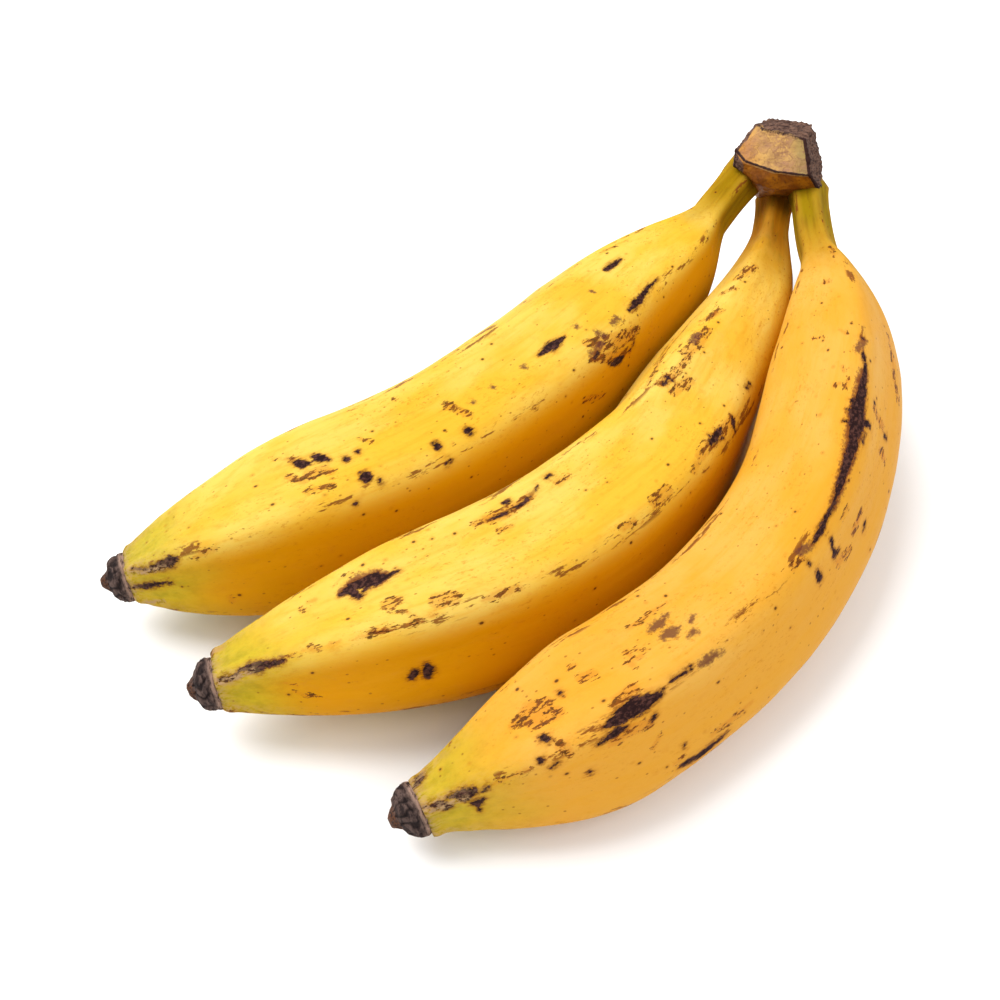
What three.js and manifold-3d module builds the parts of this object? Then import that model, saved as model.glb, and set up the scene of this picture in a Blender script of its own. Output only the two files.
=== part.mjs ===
// A hand of three ripe plantains, still joined at the crown that was cut from the stalk, lying on a table.
// Units are millimetres. +Z is up, and the origin is on the table, under the middle of the hand.
// Each fruit is one solid: a slim neck, a long five-ridged body and a short green-tinted taper.
// A dried flower scar caps each fruit, and the woody crown holds the three necks.

import * as THREE from "three";
import { ConvexGeometry } from "three/addons/geometries/ConvexGeometry.js";
import { mergeVertices } from "three/addons/utils/BufferGeometryUtils.js";
import Module from "manifold-3d";

const wasm = await Module();
wasm.setup();

// How a fruit is divided. Every surface point is found from its length along the fruit and its angle around.
const RINGS = 40;
const SIDES = 30;
const RIDGES = 5;
const RIDGE_STEP = (2 * Math.PI) / RIDGES;

// Lengths along a fruit, and radii.
const SCAR_LENGTH = 8;
const TAPER_END_RADIUS = 6.4;
const FLARE_LENGTH = 14;
const FLARE = 0.9;

// Pieces that were one in nature keep this much clear of each other.
const SEAM = 0.35;
const SOCKET_RINGS = 6;

// Edges of the ridges: larger is sharper. The flats show most at the neck and at the taper.
const BELLY_SHARPNESS = 6;
const END_SHARPNESS = 13;

// Where the ridges' turn is stated, as shares of the fruit's length.
const TURN_STATIONS = [0.3, 0.62, 0.9];

// Each fruit's middle line runs from inside the crown to the end of its flower scar. It passes through these
// points. The belly stands on the table at about its own radius. turns gives the angle of the upper ridge from
// straight up towards the outside of the bend, in degrees, at the stations above. neck is the neck's radius,
// which holds as far as neckLength. The shoulder then fills out to the girth over about shoulderLength.
const FRUITS = [
  {
    name: "left",
    line: [[82.1, 122.3, 41], [72.6, 107.8, 38.4], [54.5, 80.1, 32.4], [29.2, 53.1, 23.6],
      [3.2, 16.2, 23.4], [-29.3, -17.9, 23.2], [-69.4, -45.5, 22.8], [-112.7, -57.3, 16]],
    girth: 24.1,
    neck: 6.8,
    neckLength: 29,
    shoulderLength: 34,
    shoulderPower: 1.44,
    taperLength: 61.5,
    taperPower: 0.88,
    turns: [44, 49, 40],
    skew: 4,
  },
  {
    name: "middle",
    line: [[94.2, 121.5, 29], [85.2, 83, 29], [76.7, 56.9, 27.7], [58.1, 20.4, 21.5],
      [35.7, -24.1, 21.1], [0.9, -62.4, 22.1], [-31.7, -82.2, 23.5], [-83, -96.2, 17.4]],
    girth: 22.6,
    neck: 6.2,
    neckLength: 22,
    shoulderLength: 64,
    shoulderPower: 1.48,
    taperLength: 80,
    taperPower: 0.84,
    turns: [60, 43, 37],
    skew: -5,
  },
  {
    name: "right",
    line: [[103.2, 114.5, 39], [100.2, 80.4, 39.1], [99.7, 49.8, 39.2], [92.9, 6.2, 34.9],
      [77.5, -39.9, 25.8], [51.5, -77.4, 20.5], [14.8, -108.7, 19.9], [-30.8, -130.8, 11.2]],
    girth: 20.6,
    neck: 6,
    neckLength: 42,
    shoulderLength: 39,
    shoulderPower: 1.41,
    taperLength: 50.5,
    taperPower: 1.26,
    turns: [14, 30, 42],
    skew: 3,
  },
];

// The crown is a block with knife-cut faces. Its corners are stated from this point, near the necks' ends.
const CROWN_CENTRE = [92.1, 117.9, 39.5];
const CROWN_CORNERS = {
  frontRim: [[-15.5, -2, 14], [-12.5, -6.5, 12], [-2.5, -12, 11], [8.5, -15.5, 11.5]],
  slantedCutTop: [[-6, 2.5, 19.5], [7.5, -4, 19]],
  topCutBack: [[-7, 10, 18], [1.5, 17.5, 16], [8, 15.5, 15], [12.5, 10.5, 17]],
  rightSide: [[11, 1.5, 16.5], [16, 1.5, 7.5], [15.5, -5.5, 2.5]],
  lowerEdge: [[-15.5, -3.5, 9], [-9, -10, 5.5], [-1.5, -11.5, 3.5], [12.5, -13.5, 5.5]],
  back: [[-13, 11.5, 0], [-9, 13, -7], [-2.5, 6, -10.5], [8, 6, -10.5], [11, 14, -9], [18, 5.5, -4]],
};

const SKIN = 0xf0b32e;
const SCAR_BROWN = 0x4a3630;
const CROWN_BROWN = 0x9a6b3c;

const UP = new THREE.Vector3(0, 0, 1);
const radians = THREE.MathUtils.degToRad;

// A fruit's middle line, its whole length, and its direction frame at any length along it.
function lineOf(fruit) {
  const points = fruit.line.map((p) => new THREE.Vector3(...p));
  const curve = new THREE.CatmullRomCurve3(points, false, "centripetal");
  curve.arcLengthDivisions = 400;
  return curve;
}

function frameAt(curve, share) {
  const along = curve.getTangentAt(share);
  const outward = new THREE.Vector3().crossVectors(UP, along).normalize();
  const upward = new THREE.Vector3().crossVectors(along, outward);
  return { centre: curve.getPointAt(share), outward, upward };
}

// The mean radius at a length along the fruit: neck, then shoulder, belly and taper.
function radiusAt(fruit, length, s) {
  const past = Math.max(0, s - fruit.neckLength) / fruit.shoulderLength;
  const filled = 1 - Math.exp(-(past ** fruit.shoulderPower));
  const body = fruit.neck + (fruit.girth - fruit.neck) * filled;
  const left = Math.min(1, Math.max(0, length - SCAR_LENGTH - s) / fruit.taperLength);
  const taper = Math.sin((Math.PI / 2) * left) ** fruit.taperPower;
  const flare = FLARE * Math.max(0, 1 - s / FLARE_LENGTH) ** 2;
  return TAPER_END_RADIUS + (body + flare - TAPER_END_RADIUS) * taper;
}

// The upper ridge's angle at a share of the length, blended through the three stations.
function turnAt(fruit, share) {
  const [shoulder, belly, tip] = TURN_STATIONS;
  const [a, b, c] = fruit.turns;
  const ease = THREE.MathUtils.smoothstep;
  return radians(a + (b - a) * ease(share, shoulder, belly) + (c - b) * ease(share, belly, tip));
}

// How far a rounded five-sided section stands out at an angle, against its mean radius.
function sectionAt(angle, turn, sharpness, skew) {
  let sum = 0;
  for (let k = 0; k < RIDGES; k++) {
    const face = turn + RIDGE_STEP * (k + 0.5) + radians(skew) * Math.sin(2.4 * k);
    sum += Math.max(0, Math.cos(angle - face)) ** sharpness;
  }
  const ridge = 1 / (2 ** (1 / sharpness) * Math.cos(RIDGE_STEP / 2));
  return sum ** (-1 / sharpness) / ((1 + ridge) / 2);
}

function sharpnessAt(length, s) {
  const ends = 1 - Math.sin(Math.PI * Math.min(1, Math.max(0, s / length))) ** 0.6;
  return BELLY_SHARPNESS + (END_SHARPNESS - BELLY_SHARPNESS) * ends;
}

// A closed skin of rings, each with its middle point, and a flat disc at both ends.
function closedRings(rings) {
  const sides = rings[0].points.length;
  const positions = rings.flatMap((ring) => ring.points.flatMap((p) => [p.x, p.y, p.z]));
  const faces = [];
  for (let i = 0; i + 1 < rings.length; i++) {
    for (let j = 0; j < sides; j++) {
      const a = i * sides + j;
      const b = i * sides + ((j + 1) % sides);
      faces.push(a, b + sides, b, a, a + sides, b + sides);
    }
  }
  const ends = [[0, true], [rings.length - 1, false]];
  for (const [i, isStart] of ends) {
    const hub = positions.length / 3;
    const { x, y, z } = rings[i].centre;
    positions.push(x, y, z);
    for (let j = 0; j < sides; j++) {
      const a = i * sides + j;
      const b = i * sides + ((j + 1) % sides);
      faces.push(...(isStart ? [hub, a, b] : [hub, b, a]));
    }
  }
  const geometry = new THREE.BufferGeometry();
  geometry.setAttribute("position", new THREE.Float32BufferAttribute(positions, 3));
  geometry.setIndex(faces);
  return geometry;
}

// One ring around a middle line, with radiusOf giving the radius at each angle. Nothing dips under the table.
function ringAround(curve, share, sides, radiusOf) {
  const { centre, outward, upward } = frameAt(curve, share);
  const points = [];
  for (let j = 0; j < sides; j++) {
    const angle = (2 * Math.PI * j) / sides;
    const radius = radiusOf(angle);
    const point = centre.clone()
      .addScaledVector(upward, radius * Math.cos(angle))
      .addScaledVector(outward, radius * Math.sin(angle));
    point.z = Math.max(0, point.z);
    points.push(point);
  }
  return { centre, points };
}

// The rings of a fruit from its cut neck as far as lastRing, each wider than the fruit by the stated amount.
function fruitRings(fruit, lastRing, wider) {
  const curve = lineOf(fruit);
  const length = curve.getLength();
  const bodyShare = 1 - SCAR_LENGTH / length;
  const rings = [];
  for (let i = 0; i <= lastRing; i++) {
    const share = bodyShare * (i / RINGS);
    const s = share * length;
    const radius = radiusAt(fruit, length, s) + wider;
    const turn = turnAt(fruit, share);
    const sharpness = sharpnessAt(length, s);
    const radiusOf = (angle) => radius * sectionAt(angle, turn, sharpness, fruit.skew);
    rings.push(ringAround(curve, share, SIDES, radiusOf));
  }
  return rings;
}

function fruitGeometry(fruit) {
  return closedRings(fruitRings(fruit, RINGS, 0));
}

// The neck's form with the seam around it and behind its end, to cut the crown's socket with.
function socketGeometry(fruit) {
  const rings = fruitRings(fruit, SOCKET_RINGS, SEAM);
  const back = rings[0].centre.clone().sub(rings[1].centre).setLength(SEAM);
  for (const point of [rings[0].centre, ...rings[0].points]) {
    point.add(back);
  }
  return closedRings(rings);
}

// The dried flower scar: a swollen collar, a shrunken face and a blunt nub, all a little lumpy.
const SCAR_PROFILE = [[SEAM, 6.1], [1.5, 7.1], [3.6, 7], [5.3, 6], [6.1, 4.4], [7.1, 3.4], [8, 2.2]];
const SCAR_SIDES = 20;
const SCAR_LUMPS = 0.35;

function scarGeometry(fruit) {
  const curve = lineOf(fruit);
  const length = curve.getLength();
  const rings = SCAR_PROFILE.map(([past, radius], i) => {
    const lump = (angle) => SCAR_LUMPS * Math.sin(3 * angle + i + fruit.girth) * (i > 0 ? 1 : 0);
    const share = 1 - (SCAR_LENGTH - past) / length;
    return ringAround(curve, share, SCAR_SIDES, (angle) => radius + lump(angle));
  });
  return closedRings(rings);
}

function solidOf(geometry) {
  const bare = geometry.clone();
  bare.deleteAttribute("normal");
  bare.deleteAttribute("uv");
  const merged = mergeVertices(bare, 1e-3);
  return new wasm.Manifold(new wasm.Mesh({
    numProp: 3,
    vertProperties: new Float32Array(merged.attributes.position.array),
    triVerts: new Uint32Array(merged.index.array),
  }));
}

function geometryOf(solid) {
  const mesh = solid.getMesh();
  const geometry = new THREE.BufferGeometry();
  geometry.setAttribute("position", new THREE.BufferAttribute(mesh.vertProperties, 3));
  geometry.setIndex(new THREE.BufferAttribute(mesh.triVerts, 1));
  return geometry;
}

// The crown's block, with a socket around each neck.
function crownGeometry() {
  const centre = new THREE.Vector3(...CROWN_CENTRE);
  const corners = Object.values(CROWN_CORNERS).flat().map((p) => new THREE.Vector3(...p).add(centre));
  let crown = solidOf(new ConvexGeometry(corners));
  for (const fruit of FRUITS) {
    crown = crown.subtract(solidOf(socketGeometry(fruit)));
  }
  return geometryOf(crown);
}

function piece(name, geometry, color, roughness) {
  const material = new THREE.MeshStandardMaterial({ color, roughness, metalness: 0 });
  geometry.computeVertexNormals();
  const mesh = new THREE.Mesh(geometry, material);
  mesh.name = name;
  return mesh;
}

const hand = new THREE.Group();
hand.name = "plantain_hand";
for (const fruit of FRUITS) {
  hand.add(piece(`plantain_${fruit.name}`, fruitGeometry(fruit), SKIN, 0.5));
  hand.add(piece(`flower_scar_${fruit.name}`, scarGeometry(fruit), SCAR_BROWN, 0.9));
}
hand.add(piece("crown", crownGeometry(), CROWN_BROWN, 0.85));

export default hand;
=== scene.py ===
"""A hand of three ripe plantains on a white table, seen as in the photograph.

Each fruit is rebuilt as a fine mesh from the same middle lines and radii as the model's plain solids.
Its skin is coloured from the fruit's own coordinates: the length along it and the angle around it.
Lengths are in millimetres until a mesh is made, and the scene is in metres.
"""

import math

import bmesh
import bpy
import numpy as np
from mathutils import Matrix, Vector


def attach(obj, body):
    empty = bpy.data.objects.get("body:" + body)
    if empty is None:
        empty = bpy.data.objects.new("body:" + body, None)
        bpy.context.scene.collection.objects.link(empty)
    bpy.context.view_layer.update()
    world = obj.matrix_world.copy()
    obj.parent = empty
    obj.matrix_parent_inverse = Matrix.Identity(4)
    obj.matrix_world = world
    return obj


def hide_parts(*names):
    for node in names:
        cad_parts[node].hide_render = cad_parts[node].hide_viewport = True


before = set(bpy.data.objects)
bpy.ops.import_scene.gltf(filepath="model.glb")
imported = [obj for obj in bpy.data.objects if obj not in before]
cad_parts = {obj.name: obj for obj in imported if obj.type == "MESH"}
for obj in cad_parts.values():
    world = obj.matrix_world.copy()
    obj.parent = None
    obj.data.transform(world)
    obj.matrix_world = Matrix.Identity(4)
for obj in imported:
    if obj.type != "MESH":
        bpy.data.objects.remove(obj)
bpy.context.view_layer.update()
scene = bpy.context.scene
MM = 0.001

# The camera, as fitted to the photograph's outlines. The focal length is in pixels of the photograph.
CAMERA_PLACE = np.array([-4.8, -323.9, 286.7])
CAMERA_DOWN = math.radians(42)
FOCAL = 1398.4
IMAGE = 1000
SENSOR = 36.0

VIEW_RIGHT = np.array([1.0, 0.0, 0.0])
VIEW_UP = np.array([0.0, math.sin(CAMERA_DOWN), math.cos(CAMERA_DOWN)])
VIEW_AHEAD = np.array([0.0, math.cos(CAMERA_DOWN), -math.sin(CAMERA_DOWN)])

# Forms that all three fruits share, as in the model's source.
RIDGES = 5
RIDGE_STEP = 2 * math.pi / RIDGES
SCAR_LENGTH = 8
TAPER_END_RADIUS = 6.4
FLARE_LENGTH = 14
FLARE = 0.9
BELLY_SHARPNESS = 6
END_SHARPNESS = 13
SHARPNESS_EASE = 0.6
TURN_STATIONS = (0.3, 0.62, 0.9)

# The fineness of a skin's mesh, of a middle line and of the noise.
RINGS = 420
SIDES = 224
LINE_STEPS = 200
NOISE_CELLS = 256
NOISE_GAIN = 1.6

# Low dents in the skin: their sizes along and across the fruit, and their height.
DENTS = [((26, 15, 15), 0.34), ((11, 6, 6), 0.10), ((40, 2.6, 2.6), 0.05)]

# Folds at both ends: how many go round, how far they reach from an end, and how high they are there.
FOLDS = 13
TIP_REACH, TIP_FOLDS = 13, 0.42
NECK_REACH, NECK_FOLDS = 30, 0.20

# How far the skin rises on a ridge, and at its edge round the scar.
CREST = 0.5
LIP = 0.5

# From the crown to the first of two lengths, where the fruits nearly touch, the skin rises by at most the
# tight value. Past the second length it may rise by the free value more.
TIGHT_RELIEF = 0.1
FREE_RELIEF = 1.4
TIGHT_STRETCH = (92, 130)

# Each fruit's middle line from the crown to the flower end, its radii and lengths, the turns of its ridges
# in degrees, how uneven its faces are, the seed of its random forms, and its skin's colours: among them a
# lighter yellow with a painted sheen in it, and a painted shade for one flank.
FRUITS = {
    "left": {
        "line": [(82.1, 122.3, 41), (72.6, 107.8, 38.4), (54.5, 80.1, 32.4), (29.2, 53.1, 23.6),
                 (3.2, 16.2, 23.4), (-29.3, -17.9, 23.2), (-69.4, -45.5, 22.8), (-112.7, -57.3, 16)],
        "girth": 24.1, "neck": 6.8, "neck_length": 29, "shoulder": 34, "shoulder_power": 1.44,
        "taper": 61.5, "taper_power": 0.88, "turns": (44, 49, 40), "skew": 4, "seed": 11,
        "neck_tone": (168, 128, 8), "yellow_and_sheen_tone": (252, 212, 94), "deep_tone": (250, 194, 54),
        "shaded_flank_tone": (236, 162, 2), "neck_tone_length": 46,
    },
    "middle": {
        "line": [(94.2, 121.5, 29), (85.2, 83, 29), (76.7, 56.9, 27.7), (58.1, 20.4, 21.5),
                 (35.7, -24.1, 21.1), (0.9, -62.4, 22.1), (-31.7, -82.2, 23.5), (-83, -96.2, 17.4)],
        "girth": 22.6, "neck": 6.2, "neck_length": 22, "shoulder": 64, "shoulder_power": 1.48,
        "taper": 80, "taper_power": 0.84, "turns": (60, 43, 37), "skew": -5, "seed": 23,
        "neck_tone": (172, 106, 4), "yellow_and_sheen_tone": (253, 212, 98), "deep_tone": (251, 194, 56),
        "shaded_flank_tone": (232, 156, 2), "neck_tone_length": 70,
    },
    "right": {
        "line": [(103.2, 114.5, 39), (100.2, 80.4, 39.1), (99.7, 49.8, 39.2), (92.9, 6.2, 34.9),
                 (77.5, -39.9, 25.8), (51.5, -77.4, 20.5), (14.8, -108.7, 19.9), (-30.8, -130.8, 11.2)],
        "girth": 20.6, "neck": 6, "neck_length": 42, "shoulder": 39, "shoulder_power": 1.41,
        "taper": 50.5, "taper_power": 1.26, "turns": (14, 30, 42), "skew": 3, "seed": 37,
        "neck_tone": (160, 128, 8), "yellow_and_sheen_tone": (244, 184, 80), "deep_tone": (243, 174, 52),
        "shaded_flank_tone": (240, 172, 58), "neck_tone_length": 66,
    },
}

# Marks on the skin, as strokes. Each point of a stroke is its place in the photograph, across and down in
# pixels, and then the stroke's half width there in millimetres. black is a sunken bruise, brown a patch of
# dark dashes, plum a soft purple bruise under the skin, and pale a dry crack.
MARKS = {
    "left": {
        "black": [
            [(605, 270, 0.6), (611, 266, 1.1), (616, 262, 0.9), (620, 259, 0.3)],
            [(628, 310, 0.3), (635, 303, 1.3), (641, 297, 1.1), (649, 288, 0.8), (659, 278, 0.2)],
            [(539, 356, 0.2), (547, 349, 1.5), (553, 345, 1.9), (559, 341, 1.2), (566, 336, 0.2)],
            [(608, 363, 0.4), (614, 362, 1.1), (619, 360, 1.2), (623, 356, 0.7)],
            [(595, 357, 0.4), (598, 352, 0.7)],
            [(629, 350, 0.3), (634, 344, 0.6)],
            [(468, 431, 1.3)],
            [(437, 445, 1.4)],
            [(366, 475, 1.7)],
            [(380, 482, 0.8)],
            [(347, 459, 1.0)],
            [(359, 452, 0.7)],
            [(314, 457, 0.9), (321, 459, 1.5), (329, 460, 0.5)],
            [(296, 462, 1.1), (303, 465, 1.4), (310, 463, 0.6)],
            [(446, 465, 0.4), (451, 460, 0.5)],
            [(357, 505, 0.5)],
            [(132, 587, 0.3), (141, 586, 0.8), (150, 585, 1.0), (160, 583, 0.6), (172, 582, 0.2)],
            [(132, 568, 0.3), (141, 569, 0.6), (150, 569, 0.8), (162, 565, 1.1), (170, 562, 1.3),
             (176, 557, 0.4)],
        ],
        "brown": [
            [(587, 343, 1.6), (602, 344, 2.6), (622, 338, 2.6), (638, 328, 1.4)],
            [(592, 359, 1.2), (606, 357, 1.8), (630, 352, 1.4)],
            [(273, 458, 0.6), (295, 459, 0.9)],
            [(290, 477, 1.4), (303, 481, 1.2)],
            [(310, 474, 2.2), (322, 470, 1.8), (331, 473, 1.4)],
            [(306, 491, 0.9), (331, 487, 1.2)],
            [(361, 439, 0.8), (372, 441, 0.8)],
            [(394, 399, 1.0)],
            [(567, 271, 0.6), (581, 262, 0.6)],
            [(601, 253, 0.6), (628, 240, 0.5)],
            [(194, 557, 0.5), (205, 552, 1.2), (216, 548, 0.6)],
            [(452, 443, 0.7)],
            [(229, 597, 0.7), (233, 601, 0.7)],
            [(585, 400, 1.2), (603, 395, 1.0)],
            [(448, 405, 1.8), (470, 415, 1.4)],
        ],
        "plum": [
            [(612, 323, 0.9), (617, 319, 1.3)],
            [(524, 367, 1.0)],
            [(576, 326, 1.1)],
            [(592, 291, 1.0)],
            [(493, 388, 0.9)],
            [(474, 402, 0.7)],
            [(592, 354, 1.2), (602, 342, 1.0)],
            [(598, 332, 1.2), (606, 336, 0.8)],
        ],
        "pale": [
            [(130, 573, 0.4), (142, 573, 0.5), (156, 569, 0.6), (166, 566, 0.3)],
            [(146, 603, 0.4), (164, 601, 0.3)],
        ],
    },
    "middle": {
        "black": [
            [(343, 594, 0.8), (350, 589, 1.4), (358, 584, 1.4), (369, 581, 1.7), (377, 580, 2.1),
             (386, 577, 1.0), (399, 572, 0.2)],
            [(349, 591, 1.2), (359, 597, 0.8)],
            [(367, 586, 0.8), (363, 595, 0.4)],
            [(220, 680, 0.5), (230, 678, 0.9), (237, 675, 0.5)],
            [(240, 670, 0.5), (250, 667, 1.3), (258, 667, 1.4), (267, 664, 0.8), (284, 660, 0.3)],
            [(411, 677, 0.8), (414, 672, 1.1)],
            [(429, 672, 1.3), (426, 665, 0.9)],
            [(486, 520, 0.2), (497, 517, 0.6), (512, 510, 0.3), (524, 503, 0.6), (530, 497, 0.4),
             (537, 487, 0.3)],
            [(503, 504, 0.5), (510, 500, 0.6)],
            [(545, 478, 0.6), (551, 475, 0.6)],
            [(711, 443, 1.0), (715, 438, 1.3), (722, 429, 0.6)],
            [(710, 436, 0.5), (724, 438, 0.5)],
            [(732, 417, 0.5), (733, 424, 0.9), (735, 431, 0.5)],
            [(747, 388, 0.4), (749, 382, 0.6)],
            [(663, 385, 0.4), (669, 378, 0.8), (673, 381, 0.5)],
        ],
        "brown": [
            [(645, 388, 0.7), (660, 362, 1.0), (675, 340, 1.0), (690, 322, 1.0), (702, 311, 0.6)],
            [(655, 366, 0.6), (668, 345, 0.9), (680, 332, 0.7)],
            [(700, 322, 0.8), (712, 315, 1.4), (724, 310, 0.8)],
            [(686, 354, 2.0), (698, 343, 2.0), (708, 329, 1.6)],
            [(661, 384, 1.8), (676, 372, 1.6), (690, 355, 1.2)],
            [(672, 393, 1.5), (690, 380, 2.0)],
            [(700, 458, 1.6), (709, 446, 1.8), (722, 430, 1.8), (732, 418, 1.4)],
            [(692, 471, 1.1), (698, 463, 1.2)],
            [(655, 500, 2.2), (668, 490, 2.0)],
            [(622, 529, 1.2), (635, 522, 1.2)],
            [(474, 524, 1.2), (505, 512, 2.0), (532, 494, 1.2)],
            [(556, 482, 1.2), (568, 478, 1.0)],
            [(498, 531, 1.0), (512, 525, 1.0)],
            [(357, 639, 0.4), (369, 634, 1.0), (385, 629, 0.7), (400, 626, 0.5)],
            [(408, 623, 0.5), (415, 621, 1.2), (424, 619, 0.5)],
            [(431, 617, 0.7), (437, 615, 0.6)],
            [(303, 651, 0.6), (313, 649, 1.0), (320, 648, 0.5)],
            [(285, 657, 0.6), (294, 654, 0.6)],
            [(330, 644, 0.6), (338, 642, 0.6)],
            [(398, 613, 0.6), (402, 612, 0.7), (416, 615, 0.6)],
            [(306, 602, 0.5), (315, 600, 0.8)],
            [(300, 609, 0.8), (307, 609, 0.5)],
            [(332, 588, 0.4), (340, 579, 0.5), (352, 573, 0.5)],
            [(284, 683, 0.5), (297, 686, 0.6)],
            [(292, 691, 0.4), (306, 696, 0.7), (318, 696, 0.3)],
            [(390, 603, 2.4), (398, 600, 1.6)],
            [(440, 600, 2.4), (452, 598, 2.0)],
            [(484, 601, 0.8), (500, 594, 1.4), (520, 587, 0.8)],
            [(209, 655, 1.0), (222, 647, 0.6)],
            [(222, 711, 0.7), (235, 712, 0.9)],
            [(288, 716, 0.7), (320, 717, 0.9)],
            [(432, 706, 0.7), (460, 703, 0.7)],
            [(736, 279, 1.4), (746, 272, 1.6), (756, 266, 1.2)],
            [(722, 293, 1.6), (735, 288, 1.2)],
        ],
        "plum": [
            [(344, 592, 1.6), (360, 579, 1.8), (380, 578, 2.0)],
            [(268, 664, 1.2), (282, 660, 0.8)],
            [(692, 341, 1.4), (698, 334, 1.2)],
        ],
        "pale": [
            [(213, 686, 0.4), (222, 682, 0.6), (238, 677, 0.5), (252, 670, 0.4)],
        ],
    },
    "right": {
        "black": [
            [(862, 338, 0.6)],
            [(864, 353, 0.6), (865, 365, 0.6), (864, 377, 1.1), (862, 390, 1.5), (860, 403, 1.9),
             (858, 417, 2.3), (857, 426, 2.2), (855, 434, 1.6), (852, 447, 1.5), (847, 463, 1.3),
             (842, 480, 1.1), (837, 495, 0.8), (830, 510, 0.5), (825, 520, 0.6), (820, 530, 1.1),
             (813, 542, 0.3)],
            [(845, 421, 0.4), (856, 424, 1.2), (868, 425, 1.0), (871, 429, 0.4)],
            [(865, 433, 0.4), (862, 443, 0.5)],
            [(849, 409, 0.7)],
            [(851, 400, 0.6)],
            [(831, 541, 0.9), (833, 548, 0.5), (834, 554, 1.1), (839, 550, 0.4)],
            [(863, 530, 0.3), (864, 523, 0.6)],
            [(817, 572, 0.8), (820, 577, 1.4), (820, 583, 0.5)],
            [(886, 437, 0.8)],
            [(875, 404, 0.6)],
            [(810, 563, 0.7)],
            [(605, 728, 0.5), (613, 722, 1.3), (622, 714, 1.8), (633, 707, 2.3), (645, 703, 1.9),
             (656, 698, 1.3), (665, 688, 0.2)],
            [(597, 744, 0.3), (607, 737, 0.8), (617, 732, 0.9), (628, 727, 0.5)],
            [(652, 722, 0.5), (655, 718, 0.7)],
            [(672, 682, 0.3), (678, 677, 0.5), (685, 672, 0.4)],
            [(690, 668, 0.5), (693, 666, 0.4)],
            [(545, 737, 1.1)],
            [(590, 772, 0.7)],
            [(539, 761, 0.7)],
            [(550, 768, 0.3), (558, 762, 0.5)],
            [(558, 693, 0.5)],
            [(685, 747, 0.6)],
            [(680, 768, 0.4), (690, 761, 0.9), (700, 754, 1.1), (712, 745, 1.0), (728, 732, 0.3)],
            [(424, 808, 0.4), (436, 806, 1.0), (446, 806, 1.2), (450, 807, 0.6)],
            [(448, 797, 0.4), (456, 796, 1.0), (464, 795, 1.7), (472, 793, 1.0), (478, 792, 0.3)],
            [(473, 803, 0.5), (478, 802, 1.5), (483, 799, 0.6)],
            [(478, 803, 0.9), (479, 811, 0.4)],
            [(413, 789, 0.5), (418, 783, 1.0), (424, 775, 0.6)],
            [(482, 791, 0.5), (487, 787, 0.5)],
        ],
        "brown": [
            [(629, 628, 0.6), (640, 622, 0.8), (652, 612, 0.7), (666, 602, 0.5)],
            [(626, 652, 0.9), (632, 657, 0.8)],
            [(635, 650, 0.8), (643, 650, 0.7)],
            [(630, 662, 1.2), (634, 666, 0.8)],
            [(637, 659, 1.0), (643, 654, 0.8)],
            [(569, 666, 0.7), (575, 664, 0.6)],
            [(584, 677, 1.6), (593, 674, 1.4)],
            [(513, 726, 1.2), (531, 714, 3.2), (545, 704, 1.8)],
            [(535, 722, 2.2), (557, 713, 1.8)],
            [(562, 746, 1.6), (568, 753, 1.2)],
            [(612, 742, 1.4), (625, 733, 1.8), (650, 722, 1.4)],
            [(618, 700, 1.6), (632, 689, 1.6)],
            [(661, 735, 0.6), (655, 748, 1.0)],
            [(674, 765, 0.6), (683, 757, 0.7)],
            [(712, 736, 0.7), (735, 715, 0.9), (752, 700, 0.6)],
            [(887, 334, 0.7), (892, 360, 0.9), (895, 382, 1.0), (898, 402, 0.7)],
            [(839, 330, 0.6), (847, 334, 0.7)],
            [(813, 338, 0.6), (824, 337, 0.6)],
            [(842, 366, 0.7), (843, 372, 0.6)],
            [(835, 385, 1.0)],
            [(846, 387, 0.8), (850, 380, 0.8)],
            [(881, 452, 1.6), (884, 459, 1.4)],
            [(874, 410, 1.4), (882, 425, 1.8)],
            [(793, 567, 1.0), (801, 557, 1.1)],
            [(848, 506, 0.5), (841, 520, 0.5)],
            [(853, 532, 1.4), (861, 512, 1.2)],
            [(838, 562, 1.4), (850, 548, 1.2)],
            [(819, 416, 0.8)],
            [(795, 400, 0.6)],
            [(802, 484, 0.5)],
            [(823, 222, 0.9)],
            [(830, 245, 0.5), (832, 250, 0.9), (834, 257, 0.5)],
            [(826, 282, 1.6)],
            [(493, 784, 0.6), (530, 768, 0.6)],
        ],
        "plum": [
            [(648, 632, 0.4), (655, 627, 1.3), (661, 623, 1.3), (668, 614, 0.5)],
            [(664, 637, 1.0), (670, 634, 1.9), (678, 628, 0.6)],
            [(690, 620, 0.8), (693, 615, 0.5)],
            [(688, 636, 0.5), (694, 633, 1.0), (699, 632, 0.4)],
            [(699, 665, 0.5), (708, 659, 1.4), (716, 654, 0.9), (724, 651, 0.4)],
            [(863, 372, 1.6), (857, 420, 2.8), (847, 463, 1.8), (833, 505, 1.2)],
            [(800, 552, 1.2), (812, 544, 1.0)],
            [(858, 350, 1.2), (864, 340, 1.0)],
        ],
        "pale": [
            [(424, 813, 0.4), (440, 809, 0.5), (456, 801, 0.5), (468, 798, 0.3)],
        ],
    },
}
MARK_DEPTH_LIMIT = 4

# A mark is placed only on skin that faces the camera by more than this, as a cosine.
LEAST_FACING = 0.06


def smooth(x, low, high):
    """0 below low, 1 above high, and a soft step between."""
    t = np.clip((x - low) / (high - low), 0.0, 1.0)
    return t * t * (3 - 2 * t)


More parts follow.
